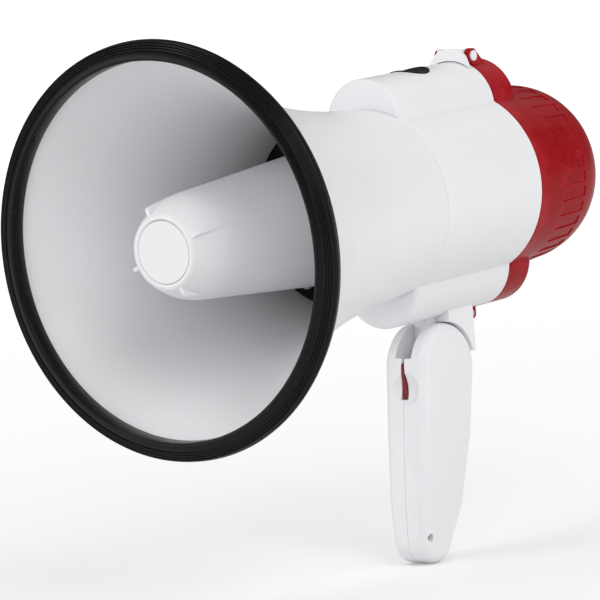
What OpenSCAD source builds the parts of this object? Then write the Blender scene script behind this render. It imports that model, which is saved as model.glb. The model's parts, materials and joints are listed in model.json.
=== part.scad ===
// Handheld megaphone with a re-entrant horn, a lobed battery body, a hinged rear
// cover and a folding handle. The origin is the centre of the horn's mouth, on the
// plane of the rubber rim's front. +Y runs back along the horn, +Z is up.

/* [Horn] */
// Diameter over the rubber rim
rim_d = 160; // [158:0.5:162]
// Distance from the mouth to the joint between horn and body
neck_y = 134.6; // [134:0.1:136]
// Wall thickness of the horn
horn_wall = 2.2; // [2:0.1:2.4]
// Gain in radius per unit of length where the horn leaves the neck
neck_taper = 0.08; // [0.07:0.01:0.09]
// How sharply the horn flares, as a power of the distance from the neck
flare_power = 2.8; // [2.6:0.1:3.2]

/* [Body] */
// Outer radius of the round body
body_r = 38; // [38:0.1:38.5]
// Radius of the lobes along the top and the bottom
lobe_r = 18.5; // [18.3:0.1:18.8]
// Distance from the horn axis to the centre of a lobe
lobe_z = 31.7; // [31.5:0.1:32]
// Distance from the mouth to the rear edge of the body
body_end_y = 200; // [199.5:0.1:200]
// Wall thickness of the casings
casing_wall = 2.1; // [2:0.1:2.3]

/* [Rear cover] */
// Depth of the lobed flange of the cover
flange_depth = 17; // [16.5:0.1:17]
// Distance from the mouth to the rear rim of the cover
cover_end_y = 248.5; // [248:0.1:249]
// Number of grip recesses around the mouthpiece
groove_count = 36; // [24:2:40]

/* [Handle] */
// Distance from the mouth to the folding pivot
pivot_y = 163; // [162.5:0.1:163.5]
// Distance from the horn axis down to the folding pivot
pivot_drop = 70; // [70:0.1:71]
// Radius of the round head of the handle
head_r = 18; // [17.8:0.1:18]
// Width of the handle
handle_w = 20; // [19:0.5:21]
// Angle through which the handle folds forward
fold_angle = 60; // [40:5:60]

/* [Power] */
// Radius of one round cell
cell_r = 12.9; // [12.5:0.1:13]
// Length of one round cell
cell_l = 49; // [48:0.5:49]

/* [Hidden] */

$fn = 96;
eps = 0.01;
gap = 0.1;
pin_gap = 0.05;
white = [0.93, 0.93, 0.94];
black = [0.08, 0.08, 0.09];
red = [0.7, 0.1, 0.13];
steel = [0.75, 0.76, 0.78];

rim_r = rim_d / 2;
rim_inner_r = rim_r - 7.8;
collar_out_r = rim_r - 3;
collar_in_r = collar_out_r - horn_wall;
collar_front_y = 3.4;
collar_back_y = 9.5;
neck_in_r = body_r - horn_wall;
flange_end_y = body_end_y + flange_depth;

// Stations along the horn axis for the parts inside the neck
spider_y = 110;
spider_t = 12;
shelf_y = spider_y + spider_t;
driver_y = shelf_y + 0.8;
plate_y = 133;
magnet_y = plate_y + 3;
yoke_y = magnet_y + 6.5;
ledge_y = 147;
board_y = 146;
board_t = 1.6;
tray_y = 149;
tray_wall = 2;
cell_y = 154;

// Screws
shank_r = 1.25;
pilot_r = 1.3;
clear_r = 1.6;
head_screw_r = 2.6;
head_screw_h = 1.8;
boss_r = 3.2;
boss_ring_r = 31.4;
boss_angles = [0, 120, 240];

pivot_z = -pivot_drop;
lug_r = 9;
fold_pin_r = 2.5;
half_w = handle_w / 2;

// Turns a shape built along +Z so that it lies along the horn axis (+Y)
module on_axis(y = 0) { translate([0, y, 0]) rotate([-90, 0, 0]) children(); }

// Round bar along X, centred on x = 0
module cross_bar(y, z, r, w) { translate([-w / 2, y, z]) rotate([0, 90, 0]) cylinder(r = r, h = w); }

// Ring along the horn axis
module ring(y, h, r_out, r_in) {
    on_axis(y) difference() {
        cylinder(r = r_out, h = h);
        translate([0, 0, -eps]) cylinder(r = r_in, h = h + 2 * eps);
    }
}

// Flat outline of body and lobes, seen along the axis; inset shrinks every radius
module lobed_outline(inset = 0) {
    circle(r = body_r - inset);
    lobe_pair(inset);
}

module lobe_pair(inset = 0) { for (s = [-1, 1]) translate([0, s * lobe_z]) circle(r = lobe_r - inset); }

// Round bar along the axis of the upper or the lower lobe
module lobe_rod(side, y0, y1, r) {
    translate([0, y0, side * lobe_z]) rotate([-90, 0, 0]) cylinder(r = r, h = y1 - y0);
}

// Lobed bar between two stations along the axis
module lobed_bar(y0, y1, inset = 0) { on_axis(y0) linear_extrude(y1 - y0) lobed_outline(inset); }

// Outline in the Y-Z plane made into a plate of width w, centred on x = 0
module side_plate(w) { rotate([90, 0, 90]) translate([0, 0, -w / 2]) linear_extrude(w) children(); }

// Screw along +Z with its head's underside at z = 0 and its head below it
module screw(length) {
    cylinder(r = shank_r, h = length, $fn = 24);
    difference() {
        translate([0, 0, -head_screw_h]) cylinder(r = head_screw_r, h = head_screw_h, $fn = 32);
        translate([-2, -0.4, -head_screw_h - eps]) cube([4, 0.8, 1]);
        translate([-0.4, -2, -head_screw_h - eps]) cube([0.8, 4, 1]);
    }
}

// Places children at the three bosses around the axis
module at_bosses(y) { for (a = boss_angles) on_axis(y) rotate(a) translate([boss_ring_r, 0, 0]) children(); }

horn_l = neck_y - collar_back_y;
function horn_r(y) = body_r + neck_taper * (neck_y - y)
    + (collar_out_r - body_r - neck_taper * horn_l) * pow((neck_y - y) / horn_l, flare_power);
function horn_outer() = [for (i = [0:24]) let (y = neck_y + (collar_back_y - neck_y) * i / 24)
    [horn_r(y), y]];
function horn_inner() = [for (i = [0:24]) let (y = collar_back_y + (neck_y - collar_back_y) * i / 24)
    [horn_r(y) - horn_wall, y]];

module horn_bell() {
    shelf_in_r = 33.4;
    color(white) difference() {
        union() {
            on_axis() rotate_extrude($fn = 144) polygon(concat(
                horn_outer(),
                [[collar_out_r, collar_front_y], [collar_in_r, collar_front_y]],
                horn_inner()));
            ring(shelf_y, neck_y + 5 - shelf_y, neck_in_r - gap, shelf_in_r);
            ring(shelf_y, neck_y - shelf_y, neck_in_r + eps, shelf_in_r);
            at_bosses(shelf_y) cylinder(r = boss_r, h = ledge_y - shelf_y - gap);
        }
        at_bosses(shelf_y - eps) cylinder(r = pilot_r, h = 30, $fn = 24);
    }
}

// Front cone of the rim with its fine concentric ribs, outside the flat land
function rib_points() = [for (i = [0:36]) let (t = i / 36, r = rim_inner_r + 1.7 + 5.7 * t)
    [r, 0.5 + 2.0 * t - 0.4 * abs(sin(6 * 180 * t))]];

module rim_guard() {
    groove_out = collar_out_r + gap;
    groove_in = collar_in_r - gap;
    color(black) on_axis() rotate_extrude($fn = 144) polygon(concat(
        [[rim_inner_r, 0.6], [rim_inner_r + 0.5, 0], [rim_inner_r + 1.5, 0]],
        rib_points(),
        [[rim_r - 0.2, 2.8], [rim_r, 3.4], [rim_r, 4.8], [rim_r - 0.8, 6.6], [groove_out + 0.8, 8.4],
         [groove_out, 8.6], [groove_out, 3.2], [groove_in, 3.2], [groove_in, 8.4],
         [groove_in - 0.8, 8.4], [rim_inner_r + 0.1, 7.2], [rim_inner_r, 6.4]]));
}

// Reflector
cup_front_y = 2.4;
cup_back_y = 99;
cup_head_y = 6.2;
cap_r = 12;
lug_angles = [-23:90:247];
module reflector_cup() {
    color(white) difference() {
        union() {
            on_axis() rotate_extrude() polygon([
                [0, cup_front_y + 1.8], [cap_r + 0.2, cup_front_y + 1.8], [cap_r + 0.2, cup_front_y + 0.5],
                [cap_r + 0.7, cup_front_y], [cap_r + 1.6, cup_front_y], [cap_r + 2.8, cup_front_y + 1.2],
                [17, 7.4], [19.6, 14], [20.7, 20], [26.8, cup_back_y], [24.9, cup_back_y],
                [19.1, 20], [17.8, 14.5], [14, 8], [0, 8]]);
            // Small fins on the shoulder of the nose
            for (a = lug_angles) on_axis() rotate(a) rotate([90, 0, 0]) translate([0, 0, -0.7])
                linear_extrude(1.4) polygon([[13.2, 3.4], [17.4, 3.4], [18.4, 4.4], [20.4, 17],
                    [19.2, 17], [15, 8], [13.2, 7]]);
        }
        on_axis() cylinder(r = clear_r, h = 12, $fn = 24);
        on_axis() cylinder(r = head_screw_r + 0.3, h = cup_head_y, $fn = 32);
    }
}

module reflector_cap() {
    color(white) on_axis(cup_front_y + 0.3) difference() {
        cylinder(r = cap_r, h = 1.4);
        translate([0, 0, 1]) cylinder(r = 4, h = 1);
    }
}

module reflector_screw() { color(steel) on_axis(cup_head_y) screw(14); }

tube_in_front_r = 10;
module throat_spider() {
    plate_front_r = horn_r(spider_y) - horn_wall - 0.27;
    plate_back_r = horn_r(shelf_y) - horn_wall - 0.16;
    back_y = shelf_y - gap;
    color(black) difference() {
        union() {
            // Tube of the throat and the wide plate that closes the horn's bore, hollow at the back
            on_axis() rotate_extrude() polygon([[tube_in_front_r, 20], [tube_in_front_r + 1.6, 20],
                [12.4, spider_y - 8], [16, spider_y], [plate_front_r, spider_y], [plate_back_r, back_y],
                [plate_back_r - 1.9, back_y], [plate_front_r - 2.2, spider_y + 2.5], [28.5, spider_y + 2.5],
                [28.5, back_y], [8, back_y], [8, 99]]);
            at_bosses(spider_y) cylinder(r = boss_r, h = spider_t - gap);
            intersection() {
                for (a = lug_angles) on_axis(22) rotate(a) translate([8.5, -1, 0]) cube([22, 2, 70]);
                difference() {
                    on_axis(22) cylinder(r1 = 19, r2 = 24.1, h = 70);
                    on_axis(21) cylinder(r1 = 10.8, r2 = 9.6, h = 72);
                }
            }
            on_axis(8.1) cylinder(r = 3.4, h = 21.9);
            for (a = lug_angles) on_axis(20) rotate(a) translate([0, -0.8, 0]) cube([10.8, 1.6, 10]);
        }
        on_axis(8) cylinder(r = pilot_r, h = 16, $fn = 24);
        at_bosses(spider_y - 1) cylinder(r = clear_r, h = spider_t + 2, $fn = 24);
    }
}

module spider_screws() { color(steel) at_bosses(spider_y) screw(spider_t + 6); }

// Loudspeaker driver
module driver_gasket() { color(black) ring(shelf_y, 0.8, 27.5, 22.5); }

module driver_frame() {
    color([0.3, 0.31, 0.33]) difference() {
        on_axis() rotate_extrude() polygon([[22.5, driver_y], [27.5, driver_y], [27.5, driver_y + 1.4],
            [25, driver_y + 1.4], [20.2, plate_y + 3], [19.1, plate_y + 3], [19.1, plate_y],
            [19.6, plate_y - 0.8], [22.5, driver_y + 1.5]]);
        for (a = [45:90:315]) on_axis(driver_y + 3) rotate(a) translate([15, -7, 0]) cube([14, 14, 5]);
    }
}

module driver_diaphragm() {
    color([0.55, 0.5, 0.42]) on_axis() rotate_extrude() polygon([
        [0, 127.2], [4.5, 127.8], [8.1, 130.2], [16.5, 125.4], [18.6, 123.9], [20.6, 124.6],
        [22.3, 123.9], [22.3, 124.4], [20.6, 125.2], [18.8, 124.5], [16.7, 126], [8.3, 130.9],
        [7.4, 130.9], [4.3, 128.4], [0, 127.8]]);
}

module voice_coil() { color([0.72, 0.45, 0.2]) ring(131, 7.5, 8.1, 7.5); }

module driver_top_plate() { color(steel) ring(plate_y, 3 - gap, 19, 8.6); }

module driver_magnet() { color([0.2, 0.2, 0.21]) ring(magnet_y, 6.5 - gap, 20, 10.5); }

module driver_yoke() {
    color(steel) {
        on_axis(plate_y + 0.4) cylinder(r = 7, h = yoke_y + 2.5 - plate_y - 0.4);
        on_axis(yoke_y) cylinder(r = 18, h = 2.5);
    }
}

// Amplifier
module at_board_screws(y) { for (a = [0, 120, 240]) on_axis(y) rotate(a) translate([24.5, 0, 0]) children(); }

module amplifier_board() {
    color([0.1, 0.38, 0.2]) difference() {
        on_axis(board_y) cylinder(r = 27.8, h = board_t);
        at_board_screws(board_y - 1) cylinder(r = clear_r, h = 4, $fn = 24);
    }
}

module amplifier_parts() {
    color([0.15, 0.17, 0.35]) {
        for (a = [60, 85]) on_axis(board_y - 9.1) rotate(a) translate([24, 0, 0]) cylinder(r = 3.2, h = 9);
        for (a = [175, 195]) on_axis(board_y - 6.1) rotate(a) translate([24, 0, 0]) cylinder(r = 2.6, h = 6);
        on_axis(board_y - 5.1) rotate(300) translate([21.5, -6, 0]) cube([4.5, 12, 5]);
        on_axis(board_y - 8.1) rotate(30) translate([21.5, -3, 0]) cube([3, 6, 8]);
    }
}

module board_screws() { color(steel) at_board_screws(board_y - gap) screw(5); }

// Battery compartment
cell_spots = [[18, 13.6], [-18, 13.6], [18, -13.6], [-18, -13.6]];
module at_cells(y) { for (p = cell_spots) translate([p[0], y, p[1]]) rotate([-90, 0, 0]) children(); }

module battery_tray() {
    tube_wall = 0.8;
    color([0.18, 0.18, 0.2]) difference() {
        union() {
            on_axis(tray_y) cylinder(r = body_r - casing_wall - 0.2, h = tray_wall);
            intersection() {
                at_cells(tray_y + tray_wall - eps) cylinder(r = cell_r + 0.2 + tube_wall, h = 46);
                on_axis(tray_y) cylinder(r = 33.5, h = 50);
            }
            at_board_screws(board_y + board_t + gap) cylinder(r = 2.6, h = tray_y - board_y - board_t);
        }
        at_cells(tray_y + tray_wall) cylinder(r = cell_r + 0.2, h = 50);
        at_board_screws(board_y + board_t) cylinder(r = pilot_r, h = 4, $fn = 24);
        at_bosses(tray_y - 1) cylinder(r = clear_r, h = 4, $fn = 24);
        at_bosses(tray_y + tray_wall) cylinder(r = head_screw_r + 0.3, h = 50, $fn = 32);
    }
}

module tray_screws() {
    color(steel) for (a = boss_angles) on_axis(tray_y + tray_wall) rotate(a)
        translate([boss_ring_r, 0, 0]) mirror([0, 0, 1]) screw(13);
}

module front_contacts() {
    color(steel) at_cells(tray_y + tray_wall + 0.02) {
        difference() {
            translate([-5, -5, 0]) cube([10, 10, 0.5]);
            cylinder(r = 1, h = 2, center = true, $fn = 24);
        }
        translate([0, 0, 0.5]) cylinder(r1 = 4.2, r2 = 2.2, h = 2.3);
    }
}

module battery_cells() {
    color([0.75, 0.6, 0.2]) at_cells(cell_y) {
        cylinder(r = cell_r, h = cell_l);
        translate([0, 0, cell_l - eps]) cylinder(r = 3, h = 1);
    }
}

// Main casing with its two lobes
switch_y = 169;
switch_r = 8.2;
switch_barrel_r = 7.4;
knuckle_y = 188.5;
knuckle_z = -51.7;
knuckle_r = 2.4;
hinge_pin_r = 1.2;
arm_x = 4.55;
arm_w = 2.9;
arm_in_r = 17.3;
bracket_head_z = -45.5;
pad_z = -47.4;
module at_bracket_screws(z) { for (y = [173, 180.5]) for (x = [-6, 6]) translate([x, y, z]) children(); }

module body_shell() {
    inner_r = body_r - casing_wall;
    color(white) difference() {
        union() {
            difference() {
                lobed_bar(neck_y + 0.1, body_end_y);
                difference() {
                    lobed_bar(neck_y + 2.4, body_end_y + 1, casing_wall);
                    // Ledge that the tray is clamped against
                    difference() {
                        ring(ledge_y, tray_y - ledge_y - gap, inner_r + 0.5, 27.9);
                        for (s = [-1, 1]) translate([0, 148, s * lobe_z])
                            rotate([90, 0, 0]) cylinder(r = 9, h = 10, center = true);
                    }
                }
                on_axis(neck_y - 1) cylinder(r = neck_in_r, h = 8);
            }
            // Low catch ridge under the latch's lip
            intersection() {
                translate([-6, 198, 47]) cube([12, 1.6, 5]);
                lobe_rod(1, 190, 210, lobe_r + 0.35);
            }
            // Flat pads under the heads of the bracket's screws
            at_bracket_screws(pad_z) cylinder(r = 3.2, h = bracket_head_z - pad_z, $fn = 32);
            // Middle knuckle of the cover hinge
            cross_bar(knuckle_y, knuckle_z, knuckle_r, 5.8);
            translate([-2.9, knuckle_y - knuckle_r, knuckle_z]) cube([5.8, 2 * knuckle_r, 2.6]);
        }
        // Seats in the lower lobe for the arms of the cover
        difference() {
            for (s = [-1, 1]) translate([s * (arm_x + 0.05) - 1.6, knuckle_y - 2.7, -60]) cube([3.2, 14.7, 20]);
            lobe_rod(-1, 150, 210, arm_in_r - gap);
        }
        cross_bar(knuckle_y, knuckle_z, hinge_pin_r + pin_gap, 40, $fn = 32);
        // Opening for the switch
        translate([0, switch_y, 40]) cylinder(r = switch_barrel_r + gap, h = 20);
        at_bosses(145) cylinder(r = clear_r, h = 6, $fn = 24);
        at_bracket_screws(-60) cylinder(r = clear_r, h = 20, $fn = 24);
    }
}

// Round two-position rocker on the top lobe
rocker_z = 47.6;
rocker_tilt = 10;
rocker_pin_r = 0.8;
module switch_bezel() {
    color(black) difference() {
        intersection() {
            union() {
                difference() {
                    translate([0, switch_y, 41]) cylinder(r = switch_r, h = 12);
                    lobe_rod(1, 150, 200, lobe_r + 0.03);
                }
                translate([0, switch_y, 41]) cylinder(r = switch_barrel_r, h = 12);
            }
            lobe_rod(1, 150, 200, lobe_r + 0.4);
        }
        translate([0, switch_y, 43]) cylinder(r = switch_barrel_r - 1, h = 12);
        cross_bar(switch_y, rocker_z, rocker_pin_r + pin_gap, 14.2, $fn = 24);
    }
}

module mode_rocker() {
    half_l = switch_barrel_r - 1.4;
    color(black) translate([0, switch_y, rocker_z]) rotate([rocker_tilt, 0, 0]) {
        intersection() {
            side_plate(14) polygon([[-half_l, -1.6], [0, -3.2], [half_l, -1.6],
                [half_l, 1.75], [0, 1.2], [-half_l, 1.75]]);
            translate([0, 0, -5]) cylinder(r = half_l + 0.15, h = 10);
        }
        cross_bar(0, 0, rocker_pin_r, 13.8, $fn = 24);
    }
}

// Rear cover and mouthpiece
function bowl_r(t) = body_r - 0.55 - 1.3 * t - 3.7 * pow(t, 5);
dish_y = 221;
floor_y = dish_y - 1.2;
volume_z = -18;
contact_y = 204.3;
ear_y = 201.9;
ear_z = 52;
ear_r = 3.1;
latch_pin_r = 1;
groove_w = 4.1;
groove_l = 17.5;
groove_depth = 0.5;
module grip_grooves() {
    for (i = [0:groove_count - 1]) rotate([0, 3.2 + i * 360 / groove_count, 0])
        translate([-groove_w / 2, flange_end_y + eps, bowl_r(0) - groove_depth])
            rotate([-3, 0, 0]) cube([groove_w, groove_l, 4]);
}

module cover_outside() {
    front_y = body_end_y + 0.2;
    // The two lobes, rounded at the rear in steps
    on_axis(front_y) linear_extrude(flange_end_y - 4 - front_y) lobe_pair();
    on_axis(flange_end_y - 4 - eps) linear_extrude(2.6) lobe_pair(1.2);
    on_axis(flange_end_y - 1.4 - eps) linear_extrude(1.4) lobe_pair(3.5);
    on_axis() rotate_extrude() polygon(concat(
        [[0, front_y], [body_r, front_y]],
        [for (i = [0:14]) [bowl_r(i / 14), flange_end_y + (cover_end_y - 1 - flange_end_y) * i / 14]],
        [[bowl_r(1) - 1, cover_end_y], [bowl_r(1) - 2.4, cover_end_y], [29, cover_end_y - 6],
         [25.5, dish_y + 2], [24, dish_y + 1], [0, dish_y + 1]]));
}

// Arms that reach forward along the lower lobe to the hinge, with their knuckles
module hinge_arms() {
    difference() {
        for (s = [-1, 1]) {
            translate([s * arm_x, 0, 0]) cross_bar(knuckle_y, knuckle_z, knuckle_r, arm_w);
            intersection() {
                translate([s * arm_x - arm_w / 2, knuckle_y, knuckle_z]) cube([arm_w, 14, 6]);
                union() {
                    lobe_rod(-1, 180, 210, lobe_r);
                    translate([-10, knuckle_y, knuckle_z]) cube([20, knuckle_r, 6]);
                }
            }
        }
        lobe_rod(-1, 180, 210, arm_in_r);
    }
}

module rear_cover() {
    color(red) difference() {
        union() {
            difference() {
                cover_outside();
                lobed_bar(body_end_y - 1, flange_end_y - 4.4, casing_wall);
                on_axis(flange_end_y - 6) cylinder(r = 33.2, h = floor_y - flange_end_y + 6);
                on_axis() rotate_extrude() polygon([[27.4, floor_y - 2], [33.2, floor_y - 2], [34.8, 224],
                    [34.2, 236], [32.8, 241], [31.4, 241], [28.2, 226]]);
                grip_grooves();
            }
            // Posts behind the contact plates
            for (s = [-1, 1]) for (z = [-13.6, 13.6]) translate([s * 18, contact_y + 0.6, z])
                rotate([-90, 0, 0]) cylinder(r = 3, h = dish_y - contact_y - 0.6, $fn = 32);
            // Ears that carry the latch
            for (x = [-7.35, 7.35]) translate([x, 0, 0]) side_plate(2.3) polygon(concat(
                [for (a = [50:20:250]) [ear_y + ear_r * cos(a), ear_z + ear_r * sin(a)]],
                [[ear_y + 1, 47.2], [ear_y + 8.1, 47.2], [ear_y + 7.9, 48.2]]));
            hinge_arms();
        }
        cross_bar(knuckle_y, knuckle_z, hinge_pin_r + pin_gap, 40, $fn = 32);
        cross_bar(ear_y, ear_z, latch_pin_r + pin_gap, 30, $fn = 24);
        // Opening for the microphone boot
        on_axis(dish_y - 4) cylinder(r = 9.1, h = 8);
        // Opening for the volume control's bush
        translate([0, dish_y - 4, volume_z]) rotate([-90, 0, 0]) cylinder(r = 3.6, h = 8);
    }
}

module rear_contacts() {
    color(steel) for (s = [-1, 1]) translate([s * 18 - 5, contact_y, -19]) {
        cube([10, 0.5, 38]);
        cube([1, 2.5, 38]);
    }
}

module cover_hinge_pin() { color(steel) cross_bar(knuckle_y, knuckle_z, hinge_pin_r, 12, $fn = 32); }

module latch_pin() {
    color(white) {
        cross_bar(ear_y, ear_z, latch_pin_r, 18.3, $fn = 24);
        for (x = [-8.85, 8.85]) translate([x, 0, 0]) cross_bar(ear_y, ear_z, 2.1, 0.6, $fn = 32);
    }
}

module latch_lever() {
    color(white) difference() {
        union() {
            // Front lip, a tapered and slanted plate that bridges the lobe
            intersection() {
                translate([0, 190, 0]) rotate([-90, 0, 0]) linear_extrude(12) polygon([[-10.7, -46.8],
                    [10.7, -46.8], [7.8, -52.2], [4.6, -55.2], [-4.6, -55.2], [-7.8, -52.2]]);
                side_plate(24) polygon([[195.5, 47], [197.2, 47], [199.1, 55.4], [197.4, 55.4]]);
            }
            side_plate(12.2) polygon([[197.2, 51], [ear_y, ear_z - 1.6], [203.5, 51.2], [204.3, 52.2],
                [203.5, 54.6], [198, 55.2]]);
        }
        cross_bar(ear_y, ear_z, latch_pin_r + pin_gap, 30, $fn = 24);
        lobe_rod(1, 150, body_end_y + 0.3, lobe_r + 0.5);
    }
}

// Microphone and volume control in the dish of the mouthpiece
module mic_boot() {
    color(black) on_axis(dish_y - 3.6) difference() {
        union() {
            cylinder(r = 9, h = 6.4);
            cylinder(r = 10.6, h = 2.2);
        }
        translate([0, 0, 1.4]) cylinder(r = 5.1, h = 8);
    }
}

module mic_capsule() {
    color(steel) on_axis(dish_y - 2.1) difference() {
        cylinder(r = 5, h = 3.6);
        translate([0, 0, 3]) cylinder(r = 1.2, h = 2, $fn = 24);
    }
}

module mic_grille() {
    color(black) on_axis(dish_y + 1.1) difference() {
        rotate_extrude() polygon([[0, 2.6], [0, 4.4], [6, 4], [10, 2.6], [11.6, 0.6], [11.6, 0],
            [9.2, 0], [9.2, 1.8]]);
        for (ring_index = [0:2]) for (i = [0:5 + 4 * ring_index]) rotate(i * 360 / (6 + 4 * ring_index))
            translate([2.4 + 2.4 * ring_index, 0, 0]) cylinder(r = 0.6, h = 6, $fn = 16);
    }
}

module volume_control() {
    color([0.25, 0.25, 0.28]) translate([0, 0, volume_z]) {
        translate([-6, 211, -6]) cube([12, floor_y - gap - 211, 12]);
        on_axis(floor_y - gap - eps) cylinder(r = 3.5, h = 2.4);
        on_axis(dish_y) cylinder(r = 1.5, h = 5, $fn = 32);
    }
}

module volume_knob() {
    color(black) translate([0, 0, volume_z]) difference() {
        union() {
            on_axis(dish_y + 1.3) cylinder(r = 4.6, h = 4.2);
            for (a = [0:20:340]) on_axis(dish_y + 1.3) rotate(a) translate([4.6, 0, 0])
                cylinder(r = 0.45, h = 4.2, $fn = 16);
        }
        on_axis(dish_y) cylinder(r = 1.5 + pin_gap, h = 5.1, $fn = 32);
        translate([-0.4, dish_y + 5, 1.8]) cube([0.8, 2, 3]);
    }
}

// Bracket under the bottom lobe
module handle_bracket() {
    seat_r = head_r + 0.4;
    shank_front = 2.5;
    color(white) difference() {
        union() {
            difference() {
                // Rear block with the seat that the handle's head turns in
                side_plate(handle_w) polygon([[166, -40], [183.4, -40], [182.7, -66], [166, -66]]);
                cross_bar(pivot_y, pivot_z, seat_r, 40);
            }
            side_plate(7.4) polygon([[pivot_y - shank_front, -40], [176, -40], [176, -60],
                [pivot_y + lug_r, pivot_z], [pivot_y - shank_front, pivot_z]]);
            cross_bar(pivot_y, pivot_z, lug_r, 7.4);
        }
        lobe_rod(-1, 100, 200, lobe_r + 0.03);
        cross_bar(pivot_y, pivot_z, fold_pin_r + pin_gap, 40, $fn = 48);
        at_bracket_screws(-58) cylinder(r = pilot_r, h = 20, $fn = 24);
    }
}

module bracket_screws() {
    color(steel) at_bracket_screws(bracket_head_z) mirror([0, 0, 1]) screw(8.5);
}

module fold_pin() { color(steel) cross_bar(pivot_y, pivot_z, fold_pin_r, 16.6, $fn = 48); }

// Handle: round stations down the grip, as [y, z, radius, half width]
grip_stations = [[pivot_y, pivot_z, head_r, half_w], [159, -95, 16.4, half_w],
    [152.3, -122, 13.9, half_w - 0.6], [147.5, -137, 9.8, half_w - 1.5]];
front_narrowing = 3.6;
module grip_solid(inset) {
    hull() for (s = grip_stations) {
        cross_bar(s[0], s[1], s[2] - inset, 2 * (s[3] - inset - front_narrowing), $fn = 48);
        cross_bar(s[0] + 0.9, s[1], s[2] - inset - 1.3, 2 * (s[3] - inset - 1.4), $fn = 48);
        cross_bar(s[0] + 2.1, s[1], s[2] - inset - 3, 2 * (s[3] - inset), $fn = 48);
    }
}

// Slot between the cheeks, cleared for the bracket's lug at every fold angle
module fork_slot() {
    clear = 0.4;
    front = 2.5 + clear;
    rear = lug_r + clear;
    far = 28;
    translate([0, pivot_y, pivot_z]) {
        side_plate(7.8) polygon([[rear, 0], [rear + 5, 9], [rear + 5, far], [-front, far], [-far, far],
            [-front * cos(fold_angle) - far * sin(fold_angle),
                -front * sin(fold_angle) + far * cos(fold_angle)],
            [-front * cos(fold_angle), -front * sin(fold_angle)], [0, 0]]);
        cross_bar(0, 0, rear, 7.8);
    }
}

screw_seat_x = 4.6;
screw_spots = [[168, -92], [153.5, -108], [148.5, -129]];
strap_spot = [141.8, -135.6];
trigger_top_z = -64;
trigger_low_z = -79.8;
trigger_pin_y = 150.4;
trigger_pin_z = -70;
hollow_top_z = -80.5;

// Wedge-shaped window for the trigger, narrow at the top
module trigger_window() {
    translate([0, 150, 0]) rotate([90, 0, 0]) linear_extrude(20)
        polygon([[-0.6, trigger_top_z + 0.4], [0.6, trigger_top_z + 0.4], [1.7, trigger_low_z - 0.4],
            [-1.7, trigger_low_z - 0.4]]);
}

module grip_shell() {
    difference() {
        grip_solid(0);
        difference() {
            intersection() {
                grip_solid(2.3);
                union() {
                    translate([-30, 100, hollow_top_z - 100]) cube([60, 120, 100]);
                    // Pocket for the trigger in front of the bracket's lug
                    translate([-2.7, 140, hollow_top_z - 5]) cube([5.4, 14.5, -64.2 - hollow_top_z + 5]);
                }
            }
            // Screw posts
            for (p = screw_spots) cross_bar(p[0], p[1], 3.2, 30);
            cross_bar(strap_spot[0], strap_spot[1], 3.4, 30);
            // Stop behind the trigger's spring
            translate([-30, 158.2, -100.5]) cube([60, 2, 6]);
        }
        fork_slot();
        trigger_window();
        translate([1.6, 132.8, -74.5]) sphere(r = 13.2, $fn = 64);
        cross_bar(strap_spot[0], strap_spot[1], 1.6, 40, $fn = 32);
        cross_bar(trigger_pin_y, trigger_pin_z, 1 + pin_gap, 12, $fn = 24);
        cross_bar(pivot_y, pivot_z, fold_pin_r + pin_gap, 16.8, $fn = 48);
    }
}

module handle_right() {
    color(white) difference() {
        grip_shell();
        translate([-39.98, 100, -200]) cube([40, 120, 200]);
        for (p = screw_spots) cross_bar(p[0], p[1], pilot_r, 13.2, $fn = 24);
    }
}

module handle_left() {
    color(white) difference() {
        grip_shell();
        translate([-0.02, 100, -200]) cube([40, 120, 200]);
        for (p = screw_spots) {
            cross_bar(p[0], p[1], clear_r, 40, $fn = 24);
            translate([-screw_seat_x, p[0], p[1]]) rotate([0, -90, 0])
                cylinder(r = head_screw_r + 0.3, h = 20, $fn = 32);
        }
    }
}

module handle_screws() {
    color(steel) for (p = screw_spots) translate([-screw_seat_x, p[0], p[1]]) rotate([0, 90, 0]) screw(10);
}

// Talk trigger
module talk_trigger() {
    color(red) difference() {
        union() {
            // Blade that shows in the window
            translate([0, 149.2, 0]) rotate([90, 0, 0]) linear_extrude(4)
                polygon([[-0.4, trigger_top_z - 1.6], [0.4, trigger_top_z - 1.6], [1.35, trigger_low_z],
                    [-1.35, trigger_low_z]]);
            side_plate(4.8) polygon([[148.9, -66.4], [152.4, -68.3], [152.4, -79], [151.4, -84],
                [151.4, -99], [148.9, -99]]);
        }
        cross_bar(trigger_pin_y, trigger_pin_z, 1 + pin_gap, 12, $fn = 24);
    }
}

module trigger_pin() { color(steel) cross_bar(trigger_pin_y, trigger_pin_z, 1, 11.8, $fn = 24); }

module trigger_switch() {
    color([0.15, 0.15, 0.17]) {
        translate([-2.9, 154.2, -92.5]) cube([5.8, 7, 11]);
        translate([-1, 152.8, -88.5]) cube([2, 1.5, 2.4]);
    }
}

// Return spring, drawn as its separate turns
module trigger_spring() {
    color(steel) for (i = [0:4]) translate([0, 151.8 + 1.45 * i, -97.5]) rotate([-90, 0, 0])
        rotate_extrude($fn = 32) translate([1.9, 0]) circle(r = 0.3, $fn = 16);
}

rim_guard();
horn_bell();
reflector_cup();
reflector_cap();
reflector_screw();
throat_spider();
spider_screws();
driver_gasket();
driver_frame();
driver_diaphragm();
voice_coil();
driver_top_plate();
driver_magnet();
driver_yoke();
amplifier_board();
amplifier_parts();
board_screws();
battery_tray();
tray_screws();
front_contacts();
battery_cells();
body_shell();
switch_bezel();
mode_rocker();
rear_cover();
rear_contacts();
cover_hinge_pin();
latch_lever();
latch_pin();
mic_boot();
mic_capsule();
mic_grille();
volume_control();
volume_knob();
handle_bracket();
bracket_screws();
fold_pin();
handle_left();
handle_right();
handle_screws();
talk_trigger();
trigger_pin();
trigger_switch();
trigger_spring();
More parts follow.
